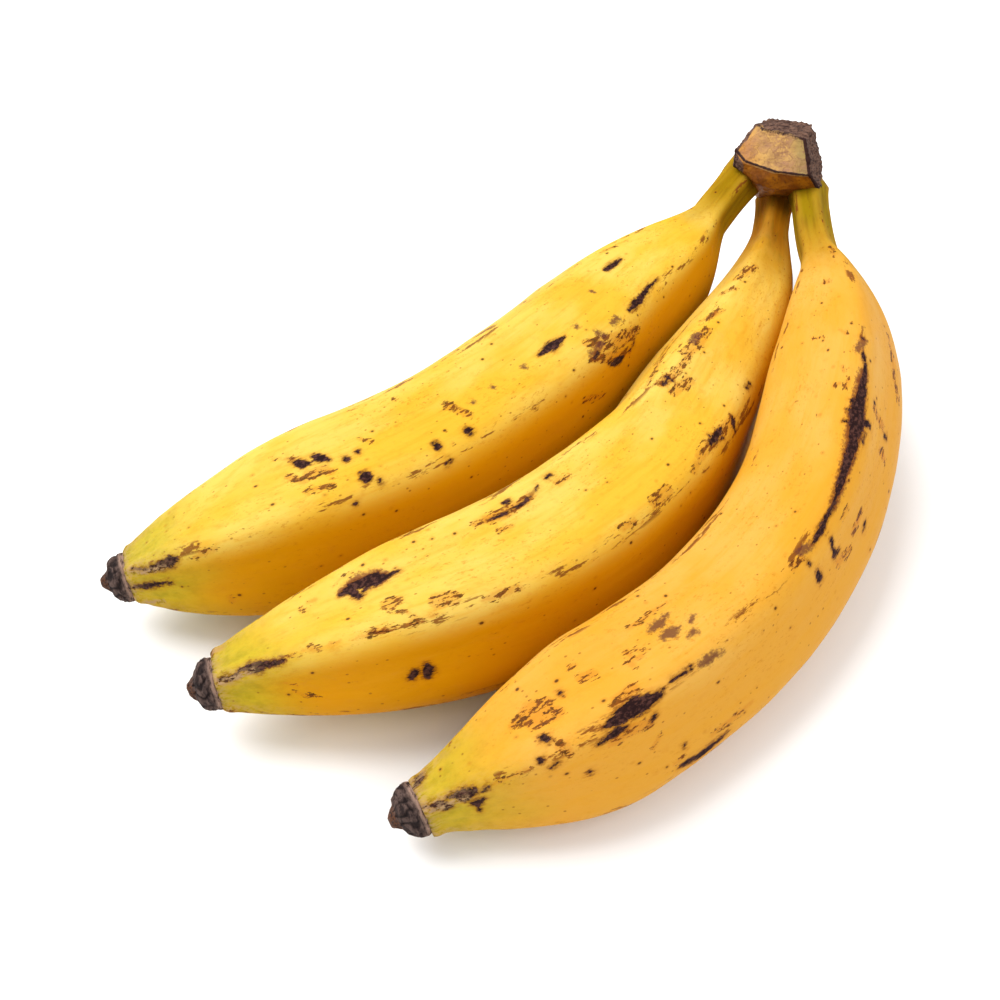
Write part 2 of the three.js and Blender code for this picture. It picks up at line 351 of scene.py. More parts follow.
def gradient_noise(points, seed):
    """Smooth noise of about -1 to 1 at points, which has one row for each point."""
    rng = np.random.RandomState(seed)
    order = rng.permutation(NOISE_CELLS)
    slopes = rng.normal(size=(NOISE_CELLS, 3))
    slopes /= np.linalg.norm(slopes, axis=1)[:, None]
    cell = np.floor(points).astype(int)
    inside = points - cell
    ease = inside ** 3 * (inside * (inside * 6 - 15) + 10)
    total = np.zeros(len(points))
    for dx in (0, 1):
        for dy in (0, 1):
            for dz in (0, 1):
                corner = cell + (dx, dy, dz)
                key = order[corner[:, 0] % NOISE_CELLS]
                key = order[(key + corner[:, 1]) % NOISE_CELLS]
                key = order[(key + corner[:, 2]) % NOISE_CELLS]
                value = np.einsum("ij,ij->i", slopes[key], inside - (dx, dy, dz))
                weight = np.ones(len(points))
                for axis, step in enumerate((dx, dy, dz)):
                    weight *= ease[:, axis] if step else 1 - ease[:, axis]
                total += value * weight
    return total * NOISE_GAIN


def grid_noise(grid, sizes, seed):
    """Noise over a grid of places, with swellings of the given sizes in each direction."""
    return gradient_noise(grid.reshape(-1, 3) / sizes, seed).reshape(grid.shape[:2])


def spline(points):
    """Places close together on the smooth line through the points, and the length up to each of them."""
    p = np.array(points, float)
    p = np.vstack([2 * p[0] - p[1], p, 2 * p[-1] - p[-2]])
    u = np.linspace(0, 1, LINE_STEPS, endpoint=False)[:, None]
    places = []
    for i in range(1, len(p) - 2):
        a, b, c, d = p[i - 1 : i + 3]
        t0, t1, t2 = [np.linalg.norm(q) ** 0.5 for q in (b - a, c - b, d - c)]
        m1 = ((b - a) / t0 - (c - a) / (t0 + t1) + (c - b) / t1) * t1
        m2 = ((c - b) / t1 - (d - b) / (t1 + t2) + (d - c) / t2) * t1
        places.append(b + m1 * u + (3 * (c - b) - 2 * m1 - m2) * u ** 2 + (2 * (b - c) + m1 + m2) * u ** 3)
    places = np.vstack(places + [p[-2][None]])
    steps = np.linalg.norm(np.diff(places, axis=0), axis=1)
    return places, np.concatenate([[0], np.cumsum(steps)])


def along_line(places, lengths, s):
    """The line's places at lengths s, and there the unit directions ahead, outward and upward."""
    def at(x):
        return np.stack([np.interp(x, lengths, places[:, k]) for k in range(3)], axis=1)

    ahead = at(np.minimum(s + 0.5, lengths[-1])) - at(np.maximum(s - 0.5, 0))
    ahead /= np.linalg.norm(ahead, axis=1)[:, None]
    outward = np.cross((0.0, 0.0, 1.0), ahead)
    outward /= np.linalg.norm(outward, axis=1)[:, None]
    return at(s), ahead, outward, np.cross(ahead, outward)


def spokes(angle, upward, outward):
    """Unit directions across the line for each ring and side. Angle 0 points upward."""
    return np.cos(angle)[None, :, None] * upward[:, None] + np.sin(angle)[None, :, None] * outward[:, None]


def own_places(s, radius, angle):
    """For each ring and side, the length along the fruit and the two distances across it."""
    return np.stack([s[:, None] + 0 * angle, radius * np.cos(angle), radius * np.sin(angle)], axis=-1)


def closed_tube(rings):
    """The corners and faces of a tube through rings of points, with a fan over each end."""
    count, sides = rings.shape[:2]
    last = (count - 1) * sides
    start = count * sides
    faces = []
    for ring in range(0, last, sides):
        for side in range(sides):
            after = (side + 1) % sides
            faces.append((ring + side, ring + after, ring + sides + after, ring + sides + side))
    for side in range(sides):
        after = (side + 1) % sides
        faces.append((start, after, side))
        faces.append((start + 1, last + side, last + after))
    return np.vstack([rings.reshape(-1, 3), rings[0].mean(axis=0), rings[-1].mean(axis=0)]), faces


def radius_at(fruit, length, s):
    """The plain radius at lengths s: neck, shoulder, body and taper."""
    past = np.maximum(0, s - fruit["neck_length"]) / fruit["shoulder"]
    filled = 1 - np.exp(-(past ** fruit["shoulder_power"]))
    body = fruit["neck"] + (fruit["girth"] - fruit["neck"]) * filled
    left = np.clip((length - SCAR_LENGTH - s) / fruit["taper"], 0, 1)
    taper = np.sin(math.pi / 2 * left) ** fruit["taper_power"]
    flare = FLARE * np.maximum(0, 1 - s / FLARE_LENGTH) ** 2
    return TAPER_END_RADIUS + (body + flare - TAPER_END_RADIUS) * taper


def turn_at(fruit, share):
    """How far the ridges are turned, at shares of the fruit's length."""
    a, b, c = fruit["turns"]
    s0, s1, s2 = TURN_STATIONS
    return np.radians(a + (b - a) * smooth(share, s0, s1) + (c - b) * smooth(share, s1, s2))


def face_sway(skew, k):
    """How far face k is moved round the fruit, because the faces are unevenly wide."""
    return math.radians(skew) * math.sin(2.4 * k)


def section_at(angle, turn, sharpness, skew):
    """The section's radius against a round one: flat faces with a rounded ridge between each two."""
    total = 0
    for k in range(RIDGES):
        face = turn + RIDGE_STEP * (k + 0.5) + face_sway(skew, k)
        total = total + np.maximum(0, np.cos(angle - face)) ** sharpness
    ridge = 1 / (2 ** (1 / sharpness) * math.cos(RIDGE_STEP / 2))
    return total ** (-1 / sharpness) / ((1 + ridge) / 2)


def ridge_nearness(angle, turn, skew):
    """1 on a ridge and 0 in the middle of a face."""
    best = np.full(angle.shape, -1.0)
    for k in range(RIDGES):
        edge = turn + RIDGE_STEP * k + (face_sway(skew, k) + face_sway(skew, k - 1)) / 2
        best = np.maximum(best, np.cos(angle - edge))
    return (best - math.cos(RIDGE_STEP / 2)) / (1 - math.cos(RIDGE_STEP / 2))


def photo_place(points):
    """Where points appear in the photograph, in pixels."""
    d = points - CAMERA_PLACE
    depth = d @ VIEW_AHEAD
    return np.stack([IMAGE / 2 + FOCAL * (d @ VIEW_RIGHT) / depth,
                     IMAGE / 2 - FOCAL * (d @ VIEW_UP) / depth], axis=-1)


class Fruit:
    """One fruit's surface as a grid of rings and sides, with the fields that its skin is coloured by."""

    def __init__(self, name):
        self.name = name
        fruit = FRUITS[name]
        self.fruit = fruit
        places, lengths = spline(fruit["line"])
        end = lengths[-1] - SCAR_LENGTH
        self.s = np.linspace(0, end, RINGS)
        self.angle = np.arange(SIDES) * 2 * math.pi / SIDES
        share = self.s / lengths[-1]
        centre, _, outward, upward = along_line(places, lengths, self.s)
        turn = turn_at(fruit, share)[:, None]
        ends = 1 - np.sin(math.pi * np.clip(share, 0, 1)) ** SHARPNESS_EASE
        sharp = (BELLY_SHARPNESS + (END_SHARPNESS - BELLY_SHARPNESS) * ends)[:, None]
        plain = radius_at(fruit, lengths[-1], self.s)[:, None]
        self.ridge = ridge_nearness(self.angle, turn, fruit["skew"])
        self.radius = plain * section_at(self.angle, turn, sharp, fruit["skew"])
        self.tip = end - self.s[:, None] + 0 * self.angle
        self.straight = own_places(self.s, plain, self.angle)
        self.across = spokes(self.angle, upward, outward)
        self.points = centre[:, None] + (self.radius + self.relief())[..., None] * self.across
        self.points[..., 2] = np.maximum(self.points[..., 2], 0)
        self.measure()

    def noise(self, sizes, number):
        return grid_noise(self.straight, sizes, self.fruit["seed"] + number)

    def relief(self):
        """Low dents and swellings of the skin, and the folds that gather towards both ends."""
        dents = sum(self.noise(sizes, number) * height for number, (sizes, height) in enumerate(DENTS))
        tip = np.exp(-self.tip / TIP_REACH)
        neck = np.exp(-self.s[:, None] / NECK_REACH)
        folds = np.cos(FOLDS * self.angle + 2.4 * self.noise((22, 30, 30), 3)) * 0.5
        folds += self.noise((18, 1.5, 1.5), 4) * 0.6
        lip = LIP * np.exp(-((self.tip - 1.0) / 1.3) ** 2)
        edge = np.minimum(1, self.s[:, None] / 12)
        crest = CREST * smooth(self.ridge, 0.4, 1.0) * edge * (1 - neck) * (1 - 0.6 * tip)
        relief = dents * edge + folds * (TIP_FOLDS * tip + NECK_FOLDS * neck * edge) + lip + crest
        return np.minimum(relief, TIGHT_RELIEF + FREE_RELIEF * smooth(self.s[:, None], *TIGHT_STRETCH))

    def measure(self):
        """How much each point faces the camera, and where it appears in the photograph."""
        along = np.gradient(self.points, axis=0)
        round_ = np.roll(self.points, -1, axis=1) - np.roll(self.points, 1, axis=1)
        normal = np.cross(round_, along)
        normal /= np.maximum(np.linalg.norm(normal, axis=2), 1e-9)[..., None]
        if (normal * self.across).sum() < 0:
            normal = -normal
        towards = CAMERA_PLACE - self.points
        towards /= np.linalg.norm(towards, axis=2)[..., None]
        self.facing = (normal * towards).sum(axis=2)
        self.pixels = photo_place(self.points)

    def find(self, pixel):
        """The ring and side nearest to a place in the photograph, on skin that faces the camera."""
        off = ((self.pixels - pixel) ** 2).sum(axis=2)
        off = np.where(self.facing > LEAST_FACING, off, np.inf)
        return np.unravel_index(np.argmin(off), off.shape)

    def mark_depth(self, kind):
        """How deep inside a mark of this kind each point lies, in millimetres. It is negative outside."""
        depth = np.full((RINGS, SIDES), -float(MARK_DEPTH_LIMIT))
        for stroke in MARKS[self.name][kind]:
            spots = [self.find(np.array(point[:2], float)) for point in stroke]
            half = np.array([point[2] for point in stroke])
            girth = np.mean([self.radius[i, j] for i, j in spots])
            line = np.array([(self.s[i], self.angle[j]) for i, j in spots])
            line[:, 1] = np.unwrap(line[:, 1]) * girth
            middle = line[:, 1].mean()
            around = 2 * math.pi * girth
            x = self.s[:, None]
            y = (self.angle * girth - middle + around / 2) % around - around / 2 + middle
            for k in range(max(1, len(stroke) - 1)):
                last = min(k + 1, len(stroke) - 1)
                run = line[last] - line[k]
                span = max(float(run @ run), 1e-9)
                t = np.clip(((x - line[k, 0]) * run[0] + (y - line[k, 1]) * run[1]) / span, 0, 1)
                gap = np.hypot(x - line[k, 0] - t * run[0], y - line[k, 1] - t * run[1])
                depth = np.maximum(depth, half[k] + (half[last] - half[k]) * t - gap)
        return np.minimum(depth, MARK_DEPTH_LIMIT)

    def zones(self):
        """Ridge lines, green parts and dry cracked parts, each from 0 to 1."""
        reach = self.fruit["neck_tone_length"]
        s = self.s[:, None]
        wander = self.noise((20, 9, 9), 8)
        green = 1 - smooth(s + 8 * wander, reach * 0.35, reach * 1.2)
        green = np.maximum(green, 0.8 * (1 - smooth(self.tip + 6 * wander, 6, 30)))
        green = green * (0.85 + 0.15 * (1 - smooth(self.ridge, 0.6, 1)))
        dry = 0.9 * np.exp(-self.tip / 7) * smooth(self.ridge, 0.75, 0.97)
        dry = np.maximum(dry, smooth(self.mark_depth("pale"), -0.5, 0.3))
        dry = np.maximum(dry, np.exp(-self.tip / 1.8))
        dry = np.maximum(dry, 0.5 * np.exp(-s / 1.2))
        return np.stack([np.clip(self.ridge, 0, 1), green, np.clip(dry, 0, 1)], axis=-1)

    def build(self):
        """The skin's mesh, with the fields on its points."""
        marks = np.stack([self.mark_depth(kind) for kind in ("black", "brown", "plum")], axis=-1)
        piece = mesh_object("skin_" + self.name, *closed_tube(self.points))
        none = (0, 0, 0)
        add_field(piece, "straight", self.straight, [none, (self.s[-1], 0, 0)])
        add_field(piece, "marks", marks, [none, none])
        add_field(piece, "zones", self.zones(), [none, none])
        return piece


def mesh_object(name, corners, faces):
    """A smooth mesh from corners in millimetres, with its faces turned outwards."""
    mesh = bpy.data.meshes.new(name)
    mesh.from_pydata((np.asarray(corners) * MM).tolist(), [], faces)
    mesh.validate()
    fix = bmesh.new()
    fix.from_mesh(mesh)
    bmesh.ops.recalc_face_normals(fix, faces=fix.faces)
    fix.to_mesh(mesh)
    fix.free()
    mesh.shade_smooth()
    piece = bpy.data.objects.new(name, mesh)
    scene.collection.objects.link(piece)
    return piece


def add_field(piece, name, grid, ends=()):
    """Gives each point three values, from a grid and, for a tube, the rows of its two end points."""
    rows = np.vstack([grid.reshape(-1, 3), *ends])
    field = piece.data.attributes.new(name, "FLOAT_VECTOR", "POINT")
    field.data.foreach_set("vector", rows.astype(np.float32).ravel())


# The light on the object is this much stronger than white paper needs, for the photograph's white surround.
LIGHT = 1.55


def colour(red, green, blue):
    """A colour as the photograph shows it in plain light, 0 to 255, as the values that a shader takes."""
    def linear(v):
        v /= 255
        return (v / 12.92 if v <= 0.04045 else ((v + 0.055) / 1.055) ** 2.4) / LIGHT

    return (linear(red), linear(green), linear(blue), 1.0)


class Shader:
    """A material around one Principled shader. A value may be a number or another node's output."""

    def __init__(self, name):
        self.material = bpy.data.materials.new(name)
        self.material.use_nodes = True
        self.tree = self.material.node_tree
        self.tree.nodes.clear()
        out = self.tree.nodes.new("ShaderNodeOutputMaterial")
        principled = self.tree.nodes.new("ShaderNodeBsdfPrincipled")
        self.tree.links.new(principled.outputs["BSDF"], out.inputs["Surface"])
        self.surface = principled.inputs

    def put(self, socket, value):
        if isinstance(value, bpy.types.NodeSocket):
            self.tree.links.new(value, socket)
        else:
            socket.default_value = value

    def set(self, name, value):
        """Gives one of the shader's own sockets its value."""
        self.put(self.surface[name], value)

    def field(self, name):
        node = self.tree.nodes.new("ShaderNodeAttribute")
        node.attribute_name = name
        return node.outputs["Vector"]

    def parts(self, vector):
        node = self.tree.nodes.new("ShaderNodeSeparateXYZ")
        self.put(node.inputs[0], vector)
        return node.outputs

    def stretch(self, vector, scale, shift=(0, 0, 0)):
        node = self.tree.nodes.new("ShaderNodeMapping")
        self.put(node.inputs["Vector"], vector)
        node.inputs["Scale"].default_value = scale
        node.inputs["Location"].default_value = shift
        return node.outputs[0]

    def noise(self, vector, scale=1.0, detail=3.0, rough=0.55, twist=0.0):
        node = self.tree.nodes.new("ShaderNodeTexNoise")
        self.put(node.inputs["Vector"], vector)
        node.inputs["Scale"].default_value = scale
        node.inputs["Detail"].default_value = detail
        node.inputs["Roughness"].default_value = rough
        node.inputs["Distortion"].default_value = twist
        return node.outputs["Fac"]

    def cells(self, vector):
        """The distance to the nearest of many scattered points, and a random number for that point."""
        node = self.tree.nodes.new("ShaderNodeTexVoronoi")
        self.put(node.inputs["Vector"], vector)
        node.inputs["Scale"].default_value = 1.0
        return node.outputs["Distance"], self.parts(node.outputs["Color"])[0]

    def math(self, kind, a, b=0.0, c=0.0):
        node = self.tree.nodes.new("ShaderNodeMath")
        node.operation = kind
        self.put(node.inputs[0], a)
        self.put(node.inputs[1], b)
        if kind == "MULTIPLY_ADD":
            self.put(node.inputs[2], c)
        return node.outputs[0]

    def step(self, value, low, high, to_low=0.0, to_high=1.0):
        node = self.tree.nodes.new("ShaderNodeMapRange")
        node.interpolation_type = "SMOOTHSTEP"
        self.put(node.inputs["Value"], value)
        self.put(node.inputs["From Min"], low)
        self.put(node.inputs["From Max"], high)
        self.put(node.inputs["To Min"], to_low)
        self.put(node.inputs["To Max"], to_high)
        return node.outputs["Result"]

    def ragged(self, value, noise, amount):
        """A value that a noise around one half pushes up and down, for a ragged edge."""
        return self.math("MULTIPLY_ADD", self.math("SUBTRACT", noise, 0.5), amount, value)

    def mix(self, amount, a, b):
        """A colour between two. The numbers are the colour sockets of the node."""
        node = self.tree.nodes.new("ShaderNodeMix")
        node.data_type = "RGBA"
        self.put(node.inputs[0], amount)
        self.put(node.inputs[6], a)
        self.put(node.inputs[7], b)
        return node.outputs[2]

    def over(self, tone, amount, share, shade):
        """A tone with a shade laid over it, by a share of the amount."""
        return self.mix(self.math("MULTIPLY", amount, share), tone, colour(*shade))

    def bump(self, height, distance, strength):
        """Shades the surface as if it rose by the height, times a distance in metres."""
        node = self.tree.nodes.new("ShaderNodeBump")
        node.inputs["Strength"].default_value = strength
        node.inputs["Distance"].default_value = distance
        self.put(node.inputs["Height"], height)
        self.set("Normal", node.outputs[0])


def skin_material(name, fruit, seed):
    """Waxy yellow skin in the fruit's own millimetres, with green ends, flecks, scuffs and bruises."""
    m = Shader("skin_" + name)
    place = m.stretch(m.field("straight"), (1, 1, 1), (seed * 7.3, seed * 1.7, 0))
    black, brown, plum = m.parts(m.field("marks"))
    ridge, green, dry = m.parts(m.field("zones"))
    along, up, side = m.parts(m.field("straight"))

    # Slow drifts between deeper orange and a lighter yellow that has a painted sheen in it, and finer
    # lengthwise threads.
    drift = m.noise(m.stretch(place, (0.025, 0.06, 0.06)), detail=3)
    threads = m.noise(m.stretch(place, (0.05, 0.55, 0.55)), detail=4, rough=0.6)
    mottle = m.noise(m.stretch(place, (0.25, 0.4, 0.4)), detail=5, rough=0.65)
    # Painted shade: where the skin faces out to one side it turns to a deeper orange, the colour of a shaded
    # flank.
    reach = m.math("SQRT", m.math("MULTIPLY_ADD", up, up, m.math("MULTIPLY", side, side)))
    shade_on_side = m.step(m.math("DIVIDE", side, reach), 0.66, 0.88)
    tone = m.mix(m.step(drift, 0.35, 0.65), colour(*fruit["deep_tone"]), colour(*fruit["yellow_and_sheen_tone"]))
    tone = m.mix(shade_on_side, tone, colour(*fruit["shaded_flank_tone"]))
    tone = m.over(tone, m.step(threads, 0.45, 0.72), 0.35, (240, 166, 26))
    tone = m.over(tone, m.step(mottle, 0.52, 0.75), 0.30, (228, 150, 40))

    # Fine mottling in patches, as thin dry scurf.
    field = m.noise(m.stretch(place, (0.045, 0.1, 0.1), (0, 30, 8)), detail=3)
    scurf = m.noise(m.stretch(place, (0.55, 1.3, 1.3)), detail=6, rough=0.72)
    scurf = m.math("MULTIPLY", m.step(scurf, 0.54, 0.66), m.step(field, 0.42, 0.62))
    tone = m.over(tone, scurf, 0.55, (206, 124, 16))

    # Green where the fruit ripens last, and each fruit's own tone at the neck.
    leaf = m.mix(m.step(mottle, 0.35, 0.7), colour(206, 184, 42), colour(172, 162, 30))
    neck = m.over(colour(*fruit["neck_tone"]), m.step(threads, 0.45, 0.65), 0.5, (128, 92, 10))
    tone = m.mix(green, tone, m.mix(m.step(along, 80, 110), neck, leaf))

    # Brown wear along the ridges, in broken lines.
    rub = m.noise(m.stretch(place, (0.06, 0.35, 0.35), (40, 0, 0)), detail=5, rough=0.7)
    wear = m.math("MULTIPLY", m.step(ridge, 0.965, 0.995), m.step(rub, 0.555, 0.6))
    tone = m.over(tone, wear, 0.85, (128, 60, 20))

    # Freckles: long faint flecks, and fewer dark dots with a lighter border.
    near_fleck, pick_fleck = m.cells(m.stretch(place, (0.32, 0.5, 0.5), (9, 4, 2)))
    flecks = m.math("MULTIPLY", m.step(near_fleck, 0.07, 0.16, 1, 0), m.step(pick_fleck, 0.52, 0.58))
    near_dot, pick_dot = m.cells(m.stretch(place, (0.16, 0.22, 0.22)))
    picked = m.step(pick_dot, 0.42, 0.48)
    tone = m.over(tone, flecks, 0.6, (136, 72, 14))
    tone = m.over(tone, m.math("MULTIPLY", m.step(near_dot, 0.08, 0.2, 1, 0), picked), 0.35, (196, 112, 14))
    tone = m.over(tone, m.math("MULTIPLY", m.step(near_dot, 0.055, 0.105, 1, 0), picked), 0.85, (70, 34, 14))

    # Brown patches break up into short lengthwise dashes, on a faint stain.
    hatch = m.noise(m.stretch(place, (0.28, 0.95, 0.95)), detail=5, rough=0.7)
    crumbs = m.noise(m.stretch(place, (0.8, 1.2, 1.2)), detail=4, rough=0.7)
    patch = m.step(brown, -1.2, 1.0)
    scuff = m.step(m.math("MULTIPLY_ADD", patch, 0.14, hatch), 0.635, 0.67)
    scuff = m.math("MULTIPLY", scuff, m.step(patch, 0.05, 0.3))
    tone = m.over(tone, m.step(m.ragged(patch, crumbs, 1.0), 0.35, 1.1), 0.4, (216, 120, 26))
    thick = m.mix(m.step(crumbs, 0.42, 0.6), colour(128, 62, 18), colour(60, 26, 12))
    tone = m.mix(m.math("MULTIPLY", scuff, 0.88), tone, thick)
    tone = m.over(tone, m.step(m.ragged(plum, crumbs, 4.5), -0.7, 0.8), 0.85, (108, 58, 46))

    # Black bruises with ragged ends along the fruit and a thin brown border.
    ragged = m.ragged(m.ragged(black, hatch, 3.2), crumbs, 1.4)
    heart = m.step(ragged, -0.02, 0.28)
    dark = m.mix(m.step(crumbs, 0.44, 0.64), colour(42, 22, 22), colour(92, 58, 50))
    tone = m.over(tone, m.step(ragged, -1.8, 0.1), 0.3, (186, 102, 14))
    tone = m.over(tone, m.step(ragged, -0.7, 0.05), 0.6, (116, 58, 14))
    tone = m.mix(heart, tone, dark)

    # Pale dry cracks near the flower end and where the neck was cut.
    flakes = m.noise(m.stretch(place, (0.25, 1.4, 1.4)), detail=5, rough=0.7)
    crack = m.math("MULTIPLY", dry, m.step(flakes, 0.42, 0.56))
    tone = m.mix(crack, tone, colour(196, 158, 112))
    scorch = m.math("MULTIPLY", dry, m.step(flakes, 0.50, 0.36))
    tone = m.over(tone, scorch, 0.8, (84, 54, 38))
    m.set("Base Color", tone)

    # The skin shines softly, and less on bruises, on dry parts and towards the neck.
    rough = m.math("MULTIPLY_ADD", mottle, 0.16, 0.38)
    rough = m.math("MULTIPLY_ADD", heart, 0.25, rough)
    rough = m.math("MULTIPLY_ADD", m.step(along, 110, 40), 0.5, rough)
    rough = m.math("MULTIPLY_ADD", dry, 0.2, rough)
    m.set("Roughness", rough)
    m.set("Specular IOR Level", 0.05)
    m.set("Subsurface Weight", 0.12)
    m.set("Subsurface Radius", (1.0, 0.45, 0.1))
    m.set("Subsurface Scale", 0.002)

    grain = m.noise(m.stretch(place, (0.5, 2.2, 2.2)), detail=4, rough=0.6)
    height = m.math("MULTIPLY_ADD", grain, 0.35, m.math("MULTIPLY", mottle, 0.5))
    height = m.math("MULTIPLY_ADD", heart, -0.8, height)
    height = m.math("MULTIPLY_ADD", scuff, -0.3, height)
    height = m.math("MULTIPLY_ADD", crack, 0.8, height)
    m.bump(height, 0.00025, 0.6)
    return m.material


def scar_material():
    """Dried flower remains: grey-brown, layered and rough."""
    m = Shader("flower_scar")
    place = m.field("straight")
    crack, collar, nub = m.parts(m.field("zones"))
    layers = m.noise(m.stretch(place, (1.1, 0.3, 0.3)), detail=6, rough=0.7)
    fine = m.noise(place, scale=1.8, detail=5, rough=0.7)
    tone = m.mix(m.step(layers, 0.38, 0.62), colour(50, 36, 34), colour(112, 90, 82))
    tone = m.over(tone, m.step(fine, 0.55, 0.7), 0.5, (140, 112, 98))
    tone = m.over(tone, m.step(fine, 0.45, 0.30), 0.8, (36, 26, 26))
    tone = m.over(tone, crack, 0.8, (34, 24, 24))
    tone = m.over(tone, nub, m.step(fine, 0.4, 0.62), (120, 76, 50))
    tone = m.over(tone, collar, m.step(layers, 0.35, 0.55), (196, 160, 140))
    m.set("Base Color", tone)
    m.set("Roughness", 0.85)
    m.set("Specular IOR Level", 0.15)
    m.bump(m.math("MULTIPLY_ADD", fine, 0.8, layers), 0.0006, 0.9)
    return m.material


def crown_material():
    """The cut crown: pale flesh on the cut face, dark dried fibres on top and at the side, skin below."""
    m = Shader("crown")
    place = m.field("straight")
    across = m.parts(place)[0]
    cut, fibre, rim = m.parts(m.field("zones"))
    soft = m.noise(place, scale=0.16, detail=4)
    fine = m.noise(place, scale=0.9, detail=6, rough=0.7)
    threads = m.noise(m.stretch(place, (0.35, 0.7, 1.8)), detail=5, rough=0.7)

    skin = m.mix(m.step(soft, 0.4, 0.65), colour(186, 116, 18), colour(140, 78, 14))
    skin = m.over(skin, m.step(fine, 0.5, 0.66), 0.6, (92, 48, 16))

    # The cut flesh is orange at the left, greenish at the right and stained brown in the middle.
    flesh = m.mix(m.step(soft, 0.42, 0.6), colour(220, 170, 94), colour(196, 150, 86))
    flesh = m.over(flesh, m.step(across, -6, -13), 0.6, (226, 150, 56))
    flesh = m.over(flesh, m.step(across, 0, 7), 0.7, (152, 134, 78))
    middle = m.step(m.math("ABSOLUTE", m.math("ADD", across, 0.5)), 5.5, 1.0)
    middle = m.math("MULTIPLY", middle, m.step(fine, 0.4, 0.62))
    flesh = m.over(flesh, middle, 0.6, (156, 108, 88))
    knots = m.noise(m.stretch(place, (0.28, 0.2, 0.2), (3, 5, 0)), detail=5, rough=0.62, twist=0.4)
    veins = m.step(m.math("ABSOLUTE", m.math("SUBTRACT", knots, 0.5)), 0.05, 0.0)
    flesh = m.over(flesh, m.step(knots, 0.47, 0.62), 0.45, (164, 112, 92))
    flesh = m.over(flesh, veins, 0.45, (118, 72, 54))
    flesh = m.over(flesh, m.step(threads, 0.5, 0.66), 0.6, (150, 104, 78))
    # Painted highlight: pale specks over the cut flesh stand in for glints of light on the wet cut.
    flesh = m.over(flesh, m.step(fine, 0.62, 0.7), 0.5, (226, 190, 130))

    bark = m.mix(m.step(threads, 0.36, 0.64), colour(66, 44, 38), colour(140, 104, 86))
    bark = m.over(bark, m.step(fine, 0.6, 0.7), 0.6, (176, 140, 118))

    tone = m.mix(m.step(m.ragged(cut, fine, 0.3), 0.4, 0.6), skin, flesh)
    tone = m.mix(m.step(m.ragged(fibre, fine, 0.4), 0.4, 0.6), tone, bark)
    tone = m.mix(m.step(m.ragged(rim, fine, 1.3), 0.4, 0.75), tone, colour(58, 30, 24))
    m.set("Base Color", tone)
    m.set("Roughness", m.math("MULTIPLY_ADD", fibre, 0.25, 0.55))
    m.set("Specular IOR Level", 0.15)
    strands = m.math("MULTIPLY", threads, m.math("MULTIPLY_ADD", fibre, 1.2, 0.25))
    m.bump(m.math("MULTIPLY_ADD", fine, 0.4, strands), 0.0006, 0.9)
    return m.material


# The dried scars: how far past the fruit's end each ring of their plain shape lies, and its radius.
SCAR_RINGS = [(-1.5, 4.0), (-0.6, 5.7), (0.1, 6.5), (0.9, 6.9), (2.2, 6.8), (3.4, 6.4), (4.5, 5.6),
              (5.2, 4.6), (5.5, 3.6), (6.0, 2.9), (6.8, 2.4), (7.5, 1.8), (7.9, 1.0)]
SCAR_ROWS = 90
SCAR_SIDES = 128
SCAR_CRACKS = 11
CRACK_DEPTH = 0.55

# Past this length a scar goes on straight, because the fruit's middle line ends there.
SCAR_BEND = 7.4


def scar_piece(name):
    """A fruit's dried flower remains: a lumpy stub with lengthwise cracks and a small nub."""
    fruit = FRUITS[name]
    seed = fruit["seed"] + 50
    places, lengths = spline(fruit["line"])
    past, wide = np.array(SCAR_RINGS).T
    run = np.concatenate([[0], np.cumsum(np.hypot(np.diff(past), np.diff(wide)))])
    at = np.linspace(0, run[-1], SCAR_ROWS)
    s = np.interp(at, run, past)
    radius = np.interp(at, run, wide)[:, None]
    end = lengths[-1] - SCAR_LENGTH
    centre, ahead, outward, upward = along_line(places, lengths, end + np.minimum(s, SCAR_BEND))
    centre = centre + ahead * np.maximum(0, s - SCAR_BEND)[:, None]
    angle = np.arange(SCAR_SIDES) * 2 * math.pi / SCAR_SIDES
    own = own_places(s, radius, angle)
    s = s[:, None]

    wander = grid_noise(own, (2.5, 3.0, 3.0), seed + 4)
    crack = smooth(np.cos(SCAR_CRACKS * angle + 3.2 * wander), 0.35, 0.95) * smooth(s, 0.8, 2.4)
    collar = np.exp(-((s - 0.3 + 0.5 * wander) / 0.8) ** 2)
    nub = smooth(s, 5.5, 6.3) + 0 * angle
    lumps = grid_noise(own, 4.2, seed) * 0.35 + grid_noise(own, 1.6, seed + 1) * 0.25
    lumps += grid_noise(own, (0.7, 1.1, 1.1), seed + 2) * 0.18
    lumps = lumps * smooth(s, -1.2, 0.6) - CRACK_DEPTH * crack * (1 - nub)
    shift = grid_noise(own, 3.1, seed + 3) * 0.5 * smooth(s, 1.0, 3.0)
    shift = np.minimum(shift, SCAR_LENGTH - s)
    points = centre[:, None] + (radius + lumps)[..., None] * spokes(angle, upward, outward)
    points = points + shift[..., None] * ahead[:, None]

    piece = mesh_object("scar_" + name, *closed_tube(points))
    add_field(piece, "straight", own, [(s[0, 0], 0, 0), (s[-1, 0], 0, 0)])
    add_field(piece, "zones", np.stack([crack, collar, nub], axis=-1), [(0, 0, 0), (0, 0, 1)])
    return piece


